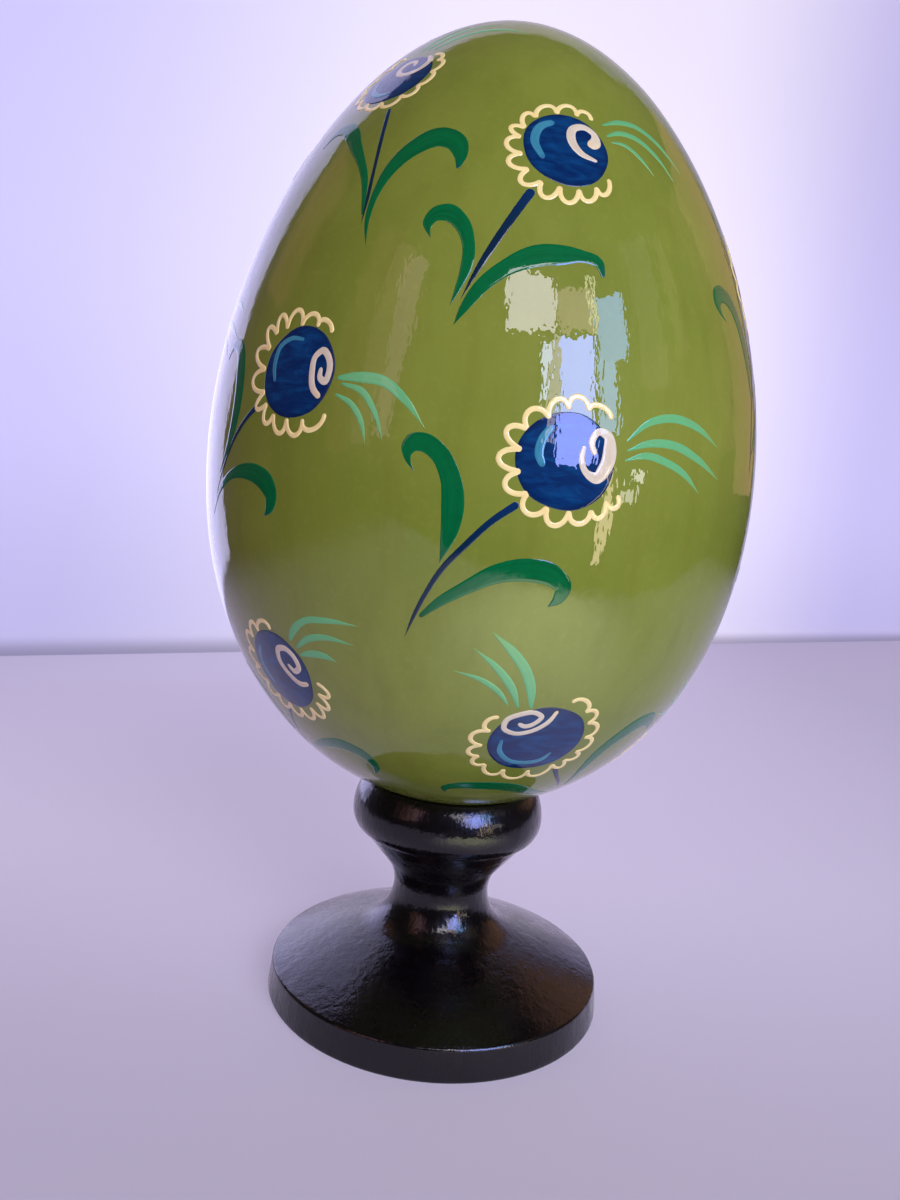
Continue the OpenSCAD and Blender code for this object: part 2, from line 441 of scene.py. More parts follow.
LEFT = {
    "disc": ((0.2, 0), 5.5, 5.3),
    "tips": [(3.2, 5.9), (1.2, 6.7), (-1.5, 7.3), (-4.2, 6.9), (-6.4, 5.4), (-7.9, 2.6), (-7.8, -0.9),
             (-6.3, -4.0), (-4.3, -5.8), (-1.6, -7.0), (1.0, -7.2), (3.5, -6.5)],
    "dips": [(4.4, 4.4), (2.2, 5.1), (-0.3, 5.3), (-2.7, 5.1), (-4.4, 4.6), (-5.2, 2.9), (-5.4, 0.5),
             (-4.9, -2.2), (-4.2, -3.6), (-2.7, -4.8), (-0.4, -5.3), (2.1, -5.3), (5.2, -4.6)],
    "crescent": [(0.6, 3.7, 0.5), (-1.5, 3.9, 0.7), (-3.2, 3, 0.8), (-3.7, 1, 0.8), (-3.2, -1.1, 0.5)],
    "spiral": [(4.2, -2.9, 0.8), (3.1, -1.9, 0.95), (2.6, 0, 0.95), (2.8, 1.8, 0.9), (3.7, 2.4, 0.95),
               (4.7, 1.5, 0.95), (5.0, 0, 0.95), (4.6, -1.1, 0.95), (3.9, -0.7, 0.9), (3.8, 0.5, 0.6)],
    "tufts": [[(6.2, -0.6, 0.5), (9, -0.4, 1.2), (12, -0.7, 1.2), (14.6, -2.4, 0.9), (17.4, -5.4, 0)],
              [(6.8, -1.2, 0.3), (9.5, -1.9, 0.8), (11.2, -3.8, 0.7), (12.8, -7.4, 0)],
              [(6.2, -2.4, 0.3), (8.3, -3.3, 0.7), (9.8, -5, 0.7), (10.7, -7.8, 0)]],
    "stem": [(-5.9, -3.7, 0.8), (-8.5, -5.4, 0.7), (-10.8, -7.4, 0.7), (-13, -10, 0.6), (-15.6, -13.4, 0.5),
             (-18, -17.5, 0)],
    "leaves": [[(-15, -11.6, 0.2), (-12.4, -8, 1.4), (-11.2, -4, 2.2), (-11.4, 0.4, 2.4), (-13, 3.9, 2.0),
                (-15.2, 4.6, 1.4), (-16.8, 2.9, 0.2)],
               [(-18, -17, 0.3), (-14.5, -13.5, 1.0), (-11, -11.9, 1.3), (-8, -11.5, 1.9), (-5, -11.9, 2.4),
                (-3.1, -12.9, 2.6), (-2.3, -14.3, 2.1), (-2.6, -15.6, 1.5), (-3.5, -16.6, 0.2)]],
}

TOP_LEFT = {
    "disc": ((-0.8, 4.8), 4.9, 4.7),
    "tips": [(4.0, 8.7), (5.1, 6.6), (5.0, 3.6), (3.8, 0.7), (1.1, -1.0), (-2.0, -0.8), (-4.7, 0.5),
             (-6.6, 2.7), (-7.3, 5.6), (-6.4, 8.6), (-4.2, 10.6)],
    "dips": [(2.6, 9.0), (3.8, 7.4), (4.2, 4.9), (3.7, 2.3), (2.2, 0.7), (-0.5, 0.1), (-3.2, 0.8),
             (-5.2, 2.4), (-5.8, 4.4), (-5.6, 7.0), (-4.4, 8.7), (-3.0, 10.2)],
    "crescent": [(-4.0, 5.6, 0.5), (-3.8, 3.4, 0.8), (-2.2, 1.8, 0.9), (0.0, 1.6, 0.6)],
    "spiral": [(1.9, 9.0, 0.6), (2.7, 7.6, 0.9), (2.1, 5.9, 0.9), (0.6, 5.2, 0.9), (-1.0, 5.7, 0.9),
               (-1.5, 7.0, 0.9), (-0.8, 8.1, 0.9), (0.4, 8.0, 0.8), (0.7, 6.9, 0.6)],
    "tufts": [[(1.8, 10.6, 0.3), (3.4, 13.2, 0.9), (5.8, 15.6, 1.0), (8.6, 16.8, 0.8), (11.6, 17.0, 0.1)],
              [(0.6, 11.0, 0.3), (1.6, 13.8, 0.9), (3.4, 16.6, 0.9), (6.4, 18.8, 0.1)],
              [(-0.6, 11.0, 0.3), (-0.2, 13.4, 0.8), (0.8, 15.8, 0.8), (2.6, 18.2, 0.1)]],
    "stem": [(1.6, -1.6, 0.6), (2.7, -6, 0.6), (3.8, -11, 0.5), (4.6, -15.5, 0.5), (5, -19, 0)],
    "leaves": [[(4.7, -17.4, 0.3), (3, -12.5, 1.0), (1, -9.5, 1.3), (-1, -7, 1.8), (-2.7, -4.8, 2.2),
                (-4.8, -3.1, 2.0), (-6.9, -3.1, 1.5), (-8.4, -4.8, 0.3)],
               [(6.6, -21.4, 0), (5.6, -18, 0.7), (5.5, -14.5, 1.1), (6.3, -11, 1.9), (8.2, -8, 2.6),
                (10.6, -6.3, 3.0), (12.7, -6.7, 2.6), (13.9, -8.3, 1.7), (14.3, -10.3, 0.3)]],
}

LOW_LEFT = {
    "disc": ((-1, -1.9), 5.6, 5.6),
    "tips": [(-2.4, 4.8), (-5.2, 4.0), (-7.6, 1.8), (-8.6, -1.2), (-8.4, -4.2), (-6.8, -7.0), (-4.4, -8.7),
             (-1.6, -9.4), (1.2, -9.2), (3.8, -8.3), (5.6, -6.5), (6.6, -4.3)],
    "dips": [(-0.6, 3.9), (-3.6, 3.1), (-5.6, 1.8), (-6.7, -0.6), (-6.9, -3.0), (-6.0, -5.0), (-4.4, -6.6),
             (-2.4, -7.4), (-0.2, -7.6), (2.1, -7.0), (3.8, -5.8), (4.8, -4.3), (5.3, -2.6)],
    "crescent": [(-4.0, 1.2, 0.5), (-5.0, -0.8, 0.8), (-4.8, -2.8, 0.8), (-3.6, -4.6, 0.5)],
    "spiral": [(3.8, -3.0, 0.7), (2.3, -3.2, 0.95), (0.6, -2.0, 0.95), (-0.4, -0.2, 0.95), (0.0, 1.4, 0.95),
               (1.5, 1.7, 0.95), (2.8, 0.6, 0.95), (3.0, -0.8, 0.95), (2.0, -1.4, 0.9), (1.1, -0.5, 0.6)],
    "tufts": [[(2.8, 3, 0.5), (3.8, 4.4, 1.0), (6, 5.9, 0.9), (9.3, 6.2, 0.8), (14.2, 5.5, 0)],
              [(3.8, 2.2, 0.4), (6, 3.6, 0.9), (8.7, 4.0, 0.8), (13, 3, 0)],
              [(4, 1.2, 0.4), (6, 1.6, 1.0), (8, 1.5, 0.9), (9.8, 0.7, 0)]],
    "stem": [(-3.6, -8.8, 0.8), (-5.0, -11.6, 0.7), (-6.2, -14.6, 0.6), (-7.0, -18.2, 0)],
    "leaves": [[(-7.4, -14.6, 0.2), (-8.6, -11.2, 1.4), (-10.6, -8.2, 2.0), (-13.4, -6.2, 2.1),
                (-16.0, -6.4, 1.4), (-17.2, -8.4, 0.2)],
               [(-5.6, -17.6, 0.2), (-2.4, -15.6, 1.1), (1.2, -13.8, 1.8), (4.8, -13.4, 2.4),
                (7.0, -14.8, 2.2), (7.4, -17.2, 1.4), (6.0, -19.6, 0.2)]],
}

LOW = {
    "disc": ((0.3, -0.8), 6.2, 5.7),
    "tips": [(-7.0, 1.6), (-8.1, -0.9), (-7.7, -3.7), (-6.5, -6.0), (-3.7, -8.2), (-0.4, -9.1), (2.9, -8.6),
             (5.8, -7.0), (7.4, -5.0), (8.4, -2.2), (8.2, 0.7), (7.0, 3.5), (4.8, 5.7)],
    "dips": [(-5.6, 2.8), (-6.0, 0.4), (-6.3, -2.3), (-6.1, -4.4), (-4.9, -5.9), (-2.2, -6.8), (1.2, -7.0),
             (4.2, -6.0), (5.6, -5.2), (6.6, -3.6), (6.8, -0.8), (6.2, 1.9), (5.2, 3.9), (2.8, 5.6)],
    "crescent": [(-4.3, -0.8, 0.5), (-4, -2.8, 0.8), (-2, -4.8, 0.9), (0, -5.1, 1.0), (2, -4.5, 0.9),
                 (2.9, -3, 0.5)],
    "spiral": [(1.3, 4.4, 0.6), (0.6, 2.6, 0.8), (-1.2, 1, 0.8), (-3.2, 0.5, 0.8), (-4.6, 1.2, 0.8),
               (-4.6, 2.5, 0.8), (-3.2, 3.6, 0.8), (-1.4, 4, 0.8), (-0.5, 3.4, 0.8), (-1, 2.4, 0.8),
               (-2.2, 1.8, 0.8), (-3.1, 2.2, 0.6)],
    "tufts": [[(-2.2, 4.6, 0.4), (-3, 7.5, 1.2), (-4.5, 10.2, 1.3), (-6.5, 12.2, 1.1), (-9.1, 14, 0.2)],
              [(-3.8, 4.6, 0.3), (-5.2, 7.2, 1.0), (-7.5, 9.6, 0.9), (-10.9, 11.7, 0.1)],
              [(-5.1, 4.8, 0.2), (-6.5, 6.4, 0.7), (-8.8, 7.7, 0.7), (-12.4, 8.2, 0.1)]],
    "stem": [(5, -7, 0.8), (6.6, -10, 0.6), (8, -12.5, 0.5), (9.6, -16.4, 0)],
    "leaves": [[(8.2, -16.6, 0.2), (6.2, -15.6, 1.2), (4, -14.0, 1.7), (1.6, -12.4, 2.4), (-1, -11.6, 2.5),
                (-4, -11.7, 2.3), (-6.6, -12.5, 1.9), (-7.9, -14.0, 1.2), (-7.4, -15.6, 0)],
               [(10.0, -14.6, 0.2), (10.1, -11, 1.0), (10.3, -8, 1.7), (11.2, -5, 2.3), (13.2, -2.6, 2.8),
                (16, -1.2, 3.1), (18.4, -1.6, 2.7), (19.8, -3.2, 1.6), (20.2, -4.8, 0.3)]],
}

# Where each flower sits: its drawing, longitude from the front, height, turn and size. The first six
# face the front; the others carry the same staggered rows on round the egg.
BOUQUET = [
    (UPPER, 12.6, 115.2, 0, 1.0),
    (MIDDLE, 14.6, 80.4, 0, 1.0),
    (LEFT, -34.4, 88.1, 0, 1.0),
    (TOP_LEFT, -35, 122, 0, 1.0),
    (LOW_LEFT, -41, 54, 0, 1.0),
    (LOW, 19, 48, 0, 1.0),
    (MIDDLE, 77.5, 107.6, 15, 1.07),
    (UPPER, 122, 131.5, 36, 0.86),
    (LEFT, 98, 66, 6, 1.0),
    (LOW, 80, 44, 10, 0.94),
    (UPPER, 126, 95, -4, 1.0),
    (LOW_LEFT, 142, 54, 8, 1.0),
    (TOP_LEFT, 167, 118, 4, 1.0),
    (MIDDLE, 178, 84, 3, 1.0),
    (LOW, -162, 47, -4, 1.0),
    (LEFT, -135, 112, 2, 1.0),
    (UPPER, -128, 74, -3, 1.02),
    (LOW_LEFT, -100, 46, -6, 0.96),
    (TOP_LEFT, -92, 126, -4, 0.96),
    (MIDDLE, -88, 93, 2, 0.96),
]


BORDER_WIDTH, BORDER_STEP = 0.62, 0.22
ARCH_POINTS = 9
ARCH_FULLNESS = 0.85    # 1 is half an oval, and less is squarer
CRESCENT_STEP, SPIRAL_STEP = 0.25, 0.2


def draw_border(paint, spot, tips, dips):
    """The looped cream line: one half-round arch from each dip to the next, over its tip."""
    for start, tip, end in zip(dips[:-1], tips, dips[1:]):
        start, tip, end = (np.asarray(p, float) for p in (start, tip, end))
        middle, half = (start + end) / 2, (end - start) / 2
        turn = np.linspace(0, math.pi, ARCH_POINTS)[:, None]
        rise = tip - middle
        arch = middle - half * np.cos(turn) + rise * np.sin(turn) ** ARCH_FULLNESS
        paint.strip(spot, ribbon(arch, BORDER_WIDTH, BORDER_STEP))


def draw_flower(paints, flower, spot):
    """All the strokes of one flower."""
    centre, radius_x, radius_y = flower["disc"]
    paints["stems"].strip(spot, ribbon(flower["stem"]))
    for leaf in flower["leaves"]:
        edges = blade(*leaf) if isinstance(leaf, tuple) else ribbon(leaf)
        paints["leaves"].strip(spot, edges)
    for tuft in flower["tufts"]:
        paints["tufts"].strip(spot, ribbon(tuft))
    paints["discs"].disc(spot, centre, radius_x, radius_y)
    paints["crescents"].strip(spot, ribbon(flower["crescent"], spacing=CRESCENT_STEP))
    paints["swirls"].strip(spot, ribbon(flower["spiral"], spacing=SPIRAL_STEP))
    draw_border(paints["borders"], spot, flower["tips"], flower["dips"])


def paint_layers():
    """The paint of all the flowers, one layer for each colour and kind of stroke."""
    paints = {
        "stems": Paint("flower_stems", "paint_stem", lift=0.022),
        "leaves": Paint("flower_leaves", "paint_green", lift=0.032),
        "tufts": Paint("flower_tufts", "paint_mint", lift=0.034),
        "discs": Paint("flower_discs", "paint_navy", lift=0.028),
        "crescents": Paint("flower_crescents", "paint_teal", lift=0.048),
        "swirls": Paint("flower_swirls", "paint_cream", lift=0.055),
        "borders": Paint("flower_borders", "paint_cream", lift=0.06),
    }
    for flower, longitude, height, turn, size in BOUQUET:
        draw_flower(paints, flower, Spot(longitude, height, turn, size))
    return paints


# ---------------------------------------------------------------- the stand's outline
# The same profile as the CAD node, in millimetres.

FOOT_RADIUS = 25.4
BAND_HEIGHT, BAND_LEAN = 4.8, 0.4
EDGE_LOW, EDGE_TOP = 0.5, 0.6
EDGE_ANGLE = 64
FOOT_SLOPE, FOOT_CROWN = 18, 0.22
NECK_RADIUS, NECK_HEIGHT = 7.3, 16.5
NECK_CURVE_TOP, NECK_CURVE_BOTTOM = 6, 7
FLARE_ANGLE = 40
CREASE_HEIGHT, CREASE_STEP, CREASE_ANGLE = 25.2, 0.2, 30
BEAD_RADIUS, BEAD_HEIGHT = 14.5, 28.3
LIP_CENTRE, LIP_RADIUS, LIP_ANGLE = (12.696, 32.686), 0.4, 40
HOLLOW_FLOOR, HOLLOW_RADIUS = 26.3, 6.5
TOP_STEPS = 24
CURVE_GAP = 6           # degrees left out where one curve runs on into the next
OUTLINE_STEP = 0.42


def arc(centre, radius_x, radius_z, start, end, steps=14):
    """Points along part of an oval about a centre, from one angle in degrees to another."""
    turn = np.radians(np.linspace(start, end, steps + 1))
    return [(centre[0] + radius_x * math.cos(a), centre[1] + radius_z * math.sin(a)) for a in turn]


def bead_half(end, slope):
    """Half of the bead, from its widest line to an end point that it meets at a given slope."""
    narrowing, rise = BEAD_RADIUS - end[0], end[1] - BEAD_HEIGHT
    part = narrowing / (abs(rise) / math.tan(math.radians(slope)) - narrowing)
    half_r = narrowing / (1 - part)
    half_z = rise / math.sqrt(1 - part ** 2)
    return arc((BEAD_RADIUS - half_r, BEAD_HEIGHT), half_r, half_z, 0, math.degrees(math.acos(part)))


def refine(outline, spacing):
    """The same outline with its long stretches divided."""
    fine = [outline[0]]
    for start, end in zip(outline[:-1], outline[1:]):
        length = math.dist(start, end)
        if length < TINY:
            continue
        parts = max(1, math.ceil(length / spacing))
        for k in range(1, parts + 1):
            share = k / parts
            fine.append((start[0] + (end[0] - start[0]) * share, start[1] + (end[1] - start[1]) * share))
    return fine


def stand_outline():
    """The stand's outline from the middle of its underside to the middle of the cup's floor."""
    band_top = (FOOT_RADIUS - BAND_LEAN - EDGE_TOP, BAND_HEIGHT - EDGE_TOP)
    foot_edge = arc(band_top, EDGE_TOP, EDGE_TOP, 0, EDGE_ANGLE, 8)
    neck_low = arc((NECK_RADIUS + NECK_CURVE_BOTTOM, NECK_HEIGHT), NECK_CURVE_BOTTOM, NECK_CURVE_BOTTOM,
                   270 - FOOT_SLOPE, 180)
    start, end = foot_edge[-1], neck_low[0]
    top = []
    for k in range(1, TOP_STEPS):
        share = k / TOP_STEPS
        bulge = 4 * FOOT_CROWN * share * (1 - share)
        top.append((start[0] + (end[0] - start[0]) * share, start[1] + (end[1] - start[1]) * share + bulge))
    flare = arc((NECK_RADIUS + NECK_CURVE_TOP, NECK_HEIGHT), NECK_CURVE_TOP, NECK_CURVE_TOP,
                180 - CURVE_GAP, 180 - FLARE_ANGLE)
    flare_end = (flare[-1][0] + (CREASE_HEIGHT - flare[-1][1]) * math.tan(math.radians(FLARE_ANGLE)),
                 CREASE_HEIGHT)
    lip = arc(LIP_CENTRE, LIP_RADIUS, LIP_RADIUS, LIP_ANGLE, 180, 10)
    bead = bead_half((flare_end[0] + CREASE_STEP, CREASE_HEIGHT), CREASE_ANGLE)[::-1]
    bead += bead_half(lip[0], 90 - LIP_ANGLE)[1:]
    hollow = arc((HOLLOW_RADIUS, LIP_CENTRE[1]), LIP_CENTRE[0] - LIP_RADIUS - HOLLOW_RADIUS,
                 LIP_CENTRE[1] - HOLLOW_FLOOR, -CURVE_GAP, -90)
    underside = [(0, 0)] + arc((FOOT_RADIUS - EDGE_LOW, EDGE_LOW), EDGE_LOW, EDGE_LOW, -90, 0, 8)
    outline = underside + foot_edge + top + neck_low + flare + [flare_end] + bead + lip[1:] + hollow
    return refine(outline + [(0, HOLLOW_FLOOR)], OUTLINE_STEP)


stand_swell = waves(seed=21, count=12, wavelength=9, height=0.02)
stand_ripple = waves(seed=22, count=20, wavelength=2.6, height=0.006)

GRAIN_DEPTH, GRAIN_LINES, GRAIN_SWAY, SWAYS = 0.012, 61, 2, 7
FINE_GRAIN_DEPTH, FINE_GRAIN_LINES, FINE_GRAIN_TURN = 0.008, 143, 1.3
RING_DEPTH, RING_PACE, RING_SWAY, RING_SWAYS = 0.006, 5.1, 0.4, 3
BAND_INSIDE = FOOT_RADIUS - 1
RINGS_OUTSIDE = 24
LIP_START, LIP_RELIEF = 31.5, 0.2


def stand_relief(points):
    """Lacquer swells, faint turning rings and the upright grain of the foot's band."""
    radius = np.hypot(points[:, 0], points[:, 1])
    turn = np.arctan2(points[:, 1], points[:, 0])
    height = points[:, 2]
    band = np.clip((radius - BAND_INSIDE) / 0.4, 0, 1) * np.clip(height / 0.6, 0, 1)
    grain = GRAIN_DEPTH * np.sin(GRAIN_LINES * turn + GRAIN_SWAY * np.sin(SWAYS * turn))
    grain += FINE_GRAIN_DEPTH * np.sin(FINE_GRAIN_LINES * turn + FINE_GRAIN_TURN)
    rings = RING_DEPTH * np.sin(radius * RING_PACE + RING_SWAY * np.sin(RING_SWAYS * turn))
    rings *= np.clip((RINGS_OUTSIDE - radius) / 3, 0, 1)
    clear = np.clip(height / 0.8, 0, 1) * np.where(height < LIP_START, 1, LIP_RELIEF)
    return (stand_swell(points) + stand_ripple(points) + band * grain + rings) * clear


# ---------------------------------------------------------------- materials

def srgb(red, green, blue):
    """A display colour, 0 to 255, as linear light."""
    def linear(value):
        value /= 255
        return value / 12.92 if value <= 0.04045 else ((value + 0.055) / 1.055) ** 2.4
    return (linear(red), linear(green), linear(blue), 1.0)


class Finish:
    """A node material around one Principled shader, with short calls that add its nodes."""

    def __init__(self, name, constants):
        self.material = bpy.data.materials.new(name)
        self.material.use_nodes = True
        self.tree = self.material.node_tree
        self.shader = self.tree.nodes["Principled BSDF"]
        self.place = self.tree.nodes.new("ShaderNodeTexCoord").outputs["Object"]
        for socket, value in constants.items():
            self.shader.inputs[socket].default_value = value

    def node(self, kind, inputs, **settings):
        """A node with its settings, and its inputs set or linked."""
        made = self.tree.nodes.new(kind)
        for key, value in settings.items():
            setattr(made, key, value)
        for key, value in inputs.items():
            if isinstance(value, bpy.types.NodeSocket):
                self.tree.links.new(value, made.inputs[key])
            elif value is not None:
                made.inputs[key].default_value = value
        return made

    def stretched(self, stretch):
        """Object coordinates scaled along each axis."""
        if stretch is None:
            return self.place
        return self.node("ShaderNodeMapping", {"Vector": self.place, "Scale": stretch}).outputs[0]

    def noise(self, size_mm, detail=2.0, rough=0.5, stretch=None, distortion=0.0):
        """Smooth noise from 0 to 1 whose blotches are about size_mm across."""
        inputs = {"Vector": self.stretched(stretch), "Scale": 1 / (size_mm * MM), "Detail": detail,
                  "Roughness": rough, "Distortion": distortion}
        return self.node("ShaderNodeTexNoise", inputs).outputs["Fac"]

    def remap(self, value, low, high, out_low=0.0, out_high=1.0):
        """A value taken from one range to another, and kept inside it."""
        inputs = {"Value": value, "From Min": low, "From Max": high, "To Min": out_low, "To Max": out_high}
        return self.node("ShaderNodeMapRange", inputs, interpolation_type="SMOOTHSTEP").outputs[0]

    def math(self, operation, first, second):
        """Two values combined."""
        return self.node("ShaderNodeMath", {0: first, 1: second}, operation=operation).outputs[0]

    def mix(self, factor, first, second):
        """One colour fading to another."""
        return self.node("ShaderNodeMix", {0: factor, 6: first, 7: second}, data_type="RGBA").outputs[2]

    def attribute(self, name):
        """A stroke's own value, such as how far along it a point is."""
        return self.node("ShaderNodeAttribute", {}, attribute_name=name).outputs["Fac"]

    def specks(self, size_mm, share, radius):
        """1 inside small round specks, in a share of the cells. radius is in cell widths."""
        inputs = {"Vector": self.place, "Scale": 1 / (size_mm * MM)}
        cells = self.node("ShaderNodeTexVoronoi", inputs).outputs
        number = self.node("ShaderNodeSeparateColor", {"Color": cells["Color"]}).outputs[0]
        chosen = self.remap(number, 1 - share, 1 - share + 0.01)
        return self.math("MULTIPLY", self.remap(cells["Distance"], radius, radius * 0.5), chosen)

    def link(self, value, socket):
        """Links a value to one of the shader's inputs."""
        self.tree.links.new(value, self.shader.inputs[socket])

    def colour(self, value):
        """Sets the colour under the coat."""
        self.link(value, "Base Color")

    def roughness(self, value):
        """Sets the roughness under the coat."""
        self.link(value, "Roughness")

    def bump(self, layers):
        """Relief of (height, depth in millimetres) layers, felt by the paint and by its clear coat."""
        normal = None
        for height, depth_mm in layers:
            inputs = {"Height": height, "Distance": depth_mm * MM, "Strength": 1.0, "Normal": normal}
            normal = self.node("ShaderNodeBump", inputs).outputs[0]
        self.link(normal, "Normal")
        self.link(normal, "Coat Normal")


LACQUER = {"Coat Weight": 1.0, "Coat Roughness": 0.015, "Coat IOR": 1.52, "Specular IOR Level": 0.03}


def lacquer_bump(finish, brush=None):
    """The thick clear lacquer's own fine unevenness, with a few dust pips, over any brush marks."""
    pull = finish.noise(2.2, detail=3, rough=0.6, stretch=(1.0, 1.0, 0.45))
    drag = finish.noise(0.9, detail=1, stretch=(1.0, 1.0, 0.25))
    pips = finish.specks(9, 0.16, 0.022)
    layers = [(pull, 0.047), (drag, 0.006), (pips, 0.05)]
    if brush is not None:
        layers.append((brush, 0.003))
    finish.bump(layers)


def egg_finish():
    """Olive green paint under clear lacquer, with soft clouds, faint upright streaks and specks."""
    finish = Finish("olive_lacquer", LACQUER)
    clouds = finish.remap(finish.noise(26, detail=3), 0.3, 0.7)
    base = finish.mix(clouds, srgb(118, 131, 52), srgb(132, 143, 62))
    streaks = finish.remap(finish.noise(3.0, detail=3, rough=0.6, stretch=(1, 1, 0.09)), 0.42, 0.75)
    base = finish.mix(finish.math("MULTIPLY", streaks, 0.35), base, srgb(112, 120, 42))
    mottle = finish.remap(finish.noise(0.8, detail=2), 0.5, 0.8)
    base = finish.mix(finish.math("MULTIPLY", mottle, 0.18), base, srgb(150, 156, 76))
    base = finish.mix(finish.specks(3.4, 0.10, 0.03), base, srgb(70, 74, 30))
    finish.colour(base)
    finish.roughness(finish.remap(clouds, 0, 1, 0.36, 0.5))
    lacquer_bump(finish)
    return finish.material


def navy_finish():
    """Dark blue flower discs, brushed on in slightly uneven strokes."""
    finish = Finish("navy_paint", LACQUER)
    sweep = finish.noise(1.6, detail=3, rough=0.6, stretch=(0.45, 0.45, 1.5), distortion=0.6)
    tint = finish.remap(sweep, 0.35, 0.8)
    base = finish.mix(tint, srgb(0, 38, 96), srgb(4, 72, 136))
    thin = finish.remap(finish.attribute("along"), 0.86, 1.0)
    base = finish.mix(finish.math("MULTIPLY", thin, 0.5), base, srgb(2, 24, 62))
    finish.colour(base)
    finish.roughness(finish.remap(sweep, 0.3, 0.7, 0.36, 0.55))
    lacquer_bump(finish, sweep)
    return finish.material


HAIRS_ACROSS, HAIRS_ALONG = 3.4, 2.2       # how fast a brush's streaks change over a stroke
STROKE_APART = 37.0                        # how far apart in that noise two strokes lie


def stroke_finish(name, start, middle, end, streak, fade=(0.25, 0.75)):
    """Brushed paint whose colour changes along a stroke, streaked by the brush's hairs. Its four
    colours are display colours, 0 to 255, and fade is where along the stroke the middle one holds."""
    start, middle, end, streak = (srgb(*shade) for shade in (start, middle, end, streak))
    finish = Finish(name, LACQUER)
    along = finish.attribute("along")
    base = finish.mix(finish.remap(along, 0.0, fade[0]), start, middle)
    base = finish.mix(finish.remap(along, fade[1], 1.0), base, end)
    stroke_place = {0: finish.math("MULTIPLY", finish.attribute("across"), HAIRS_ACROSS),
                    1: finish.math("MULTIPLY", along, HAIRS_ALONG),
                    2: finish.math("MULTIPLY", finish.attribute("tone"), STROKE_APART)}
    place = finish.node("ShaderNodeCombineXYZ", stroke_place).outputs[0]
    hairs = finish.node("ShaderNodeTexNoise", {"Vector": place, "Scale": 1.0, "Detail": 2.0}).outputs["Fac"]
    base = finish.mix(finish.remap(hairs, 0.42, 0.75, 0.0, 0.7), base, streak)
    blotch = finish.remap(finish.noise(1.3, detail=2), 0.45, 0.75, 0.0, 0.35)
    base = finish.mix(blotch, base, streak)
    finish.colour(base)
    finish.roughness(finish.remap(hairs, 0.3, 0.7, 0.36, 0.55))
    lacquer_bump(finish, hairs)
    return finish.material


def stand_finish():
    """Black lacquer brushed over wood: pores and grain show through, browner where it is thin."""
    constants = {"Coat Weight": 0.85, "Coat Roughness": 0.06, "Coat IOR": 1.5, "Specular IOR Level": 0.12}
    finish = Finish("black_lacquer_wood", constants)
    grain = finish.noise(1.1, detail=4, rough=0.65, stretch=(1, 1, 0.12))
    patches = finish.noise(11, detail=3, rough=0.6)
    thin = finish.math("MULTIPLY", finish.remap(grain, 0.5, 0.8), finish.remap(patches, 0.48, 0.72))
    base = finish.mix(thin, srgb(6, 4, 9), srgb(40, 26, 20))
    dust = finish.specks(1.6, 0.12, 0.09)
    base = finish.mix(finish.math("MULTIPLY", dust, 0.35), base, srgb(70, 64, 70))
    finish.colour(base)
    finish.roughness(finish.remap(finish.noise(4.0, detail=4, rough=0.65), 0.3, 0.7, 0.2, 0.42))
    pores = finish.noise(0.5, detail=2, rough=0.6, stretch=(1, 1, 0.2))
    brush = finish.noise(1.7, detail=3, rough=0.6)
    finish.bump([(grain, 0.06), (pores, 0.03), (brush, 0.07)])
    return finish.material


# ---------------------------------------------------------------- the pieces

EGG_ROWS, EGG_SEGMENTS = 200, 256
STAND_SEGMENTS = 224


def make_egg():
    """The turned wooden egg under its lacquer."""
    angles = np.linspace(0, math.pi, EGG_ROWS + 1)
    outline = np.column_stack(egg_outline(angles))
    points, faces = turned(outline[::-1], EGG_SEGMENTS, egg_relief)
    piece = make_piece("painted_egg", points, faces, egg_finish(), "egg", sharp=60)
    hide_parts("egg")


def make_stand():
    """The turned stand: foot, neck, bead and cup in one piece."""
    points, faces = turned(stand_outline(), STAND_SEGMENTS, stand_relief)
    points[:, 2] = np.maximum(points[:, 2], 0)
    piece = make_piece("turned_stand", points, faces, stand_finish(), "stand", sharp=50)
    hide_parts("stand")


def make_flowers():
    """All the painted flowers."""
    finishes = {
        "stems": stroke_finish("stem_paint", (4, 44, 110), (8, 36, 70), (22, 26, 22), (10, 50, 60),
                               fade=(0.5, 0.6)),
        "leaves": stroke_finish("leaf_paint", (0, 84, 46), (0, 104, 60), (0, 86, 86), (0, 86, 50),
                                fade=(0.3, 0.78)),
        "tufts": stroke_finish("mint_paint", (86, 177, 126), (106, 185, 134), (131, 165, 88),
                               (110, 175, 118), fade=(0.3, 0.6)),
        "discs": navy_finish(),
        "crescents": stroke_finish("teal_paint", (44, 120, 168), (66, 142, 178), (30, 98, 150),
                                   (40, 116, 160)),
        "swirls": stroke_finish("pale_paint", (250, 226, 184), (226, 214, 204), (214, 206, 204),
                                (206, 190, 176), fade=(0.3, 0.8)),
        "borders": stroke_finish("cream_paint", (254, 230, 166), (255, 236, 178), (252, 226, 158),
                                 (246, 214, 142)),
    }
    for key, paint in paint_layers().items():
        paint.piece(finishes[key])


# ---------------------------------------------------------------- floor, backdrop, lights and camera

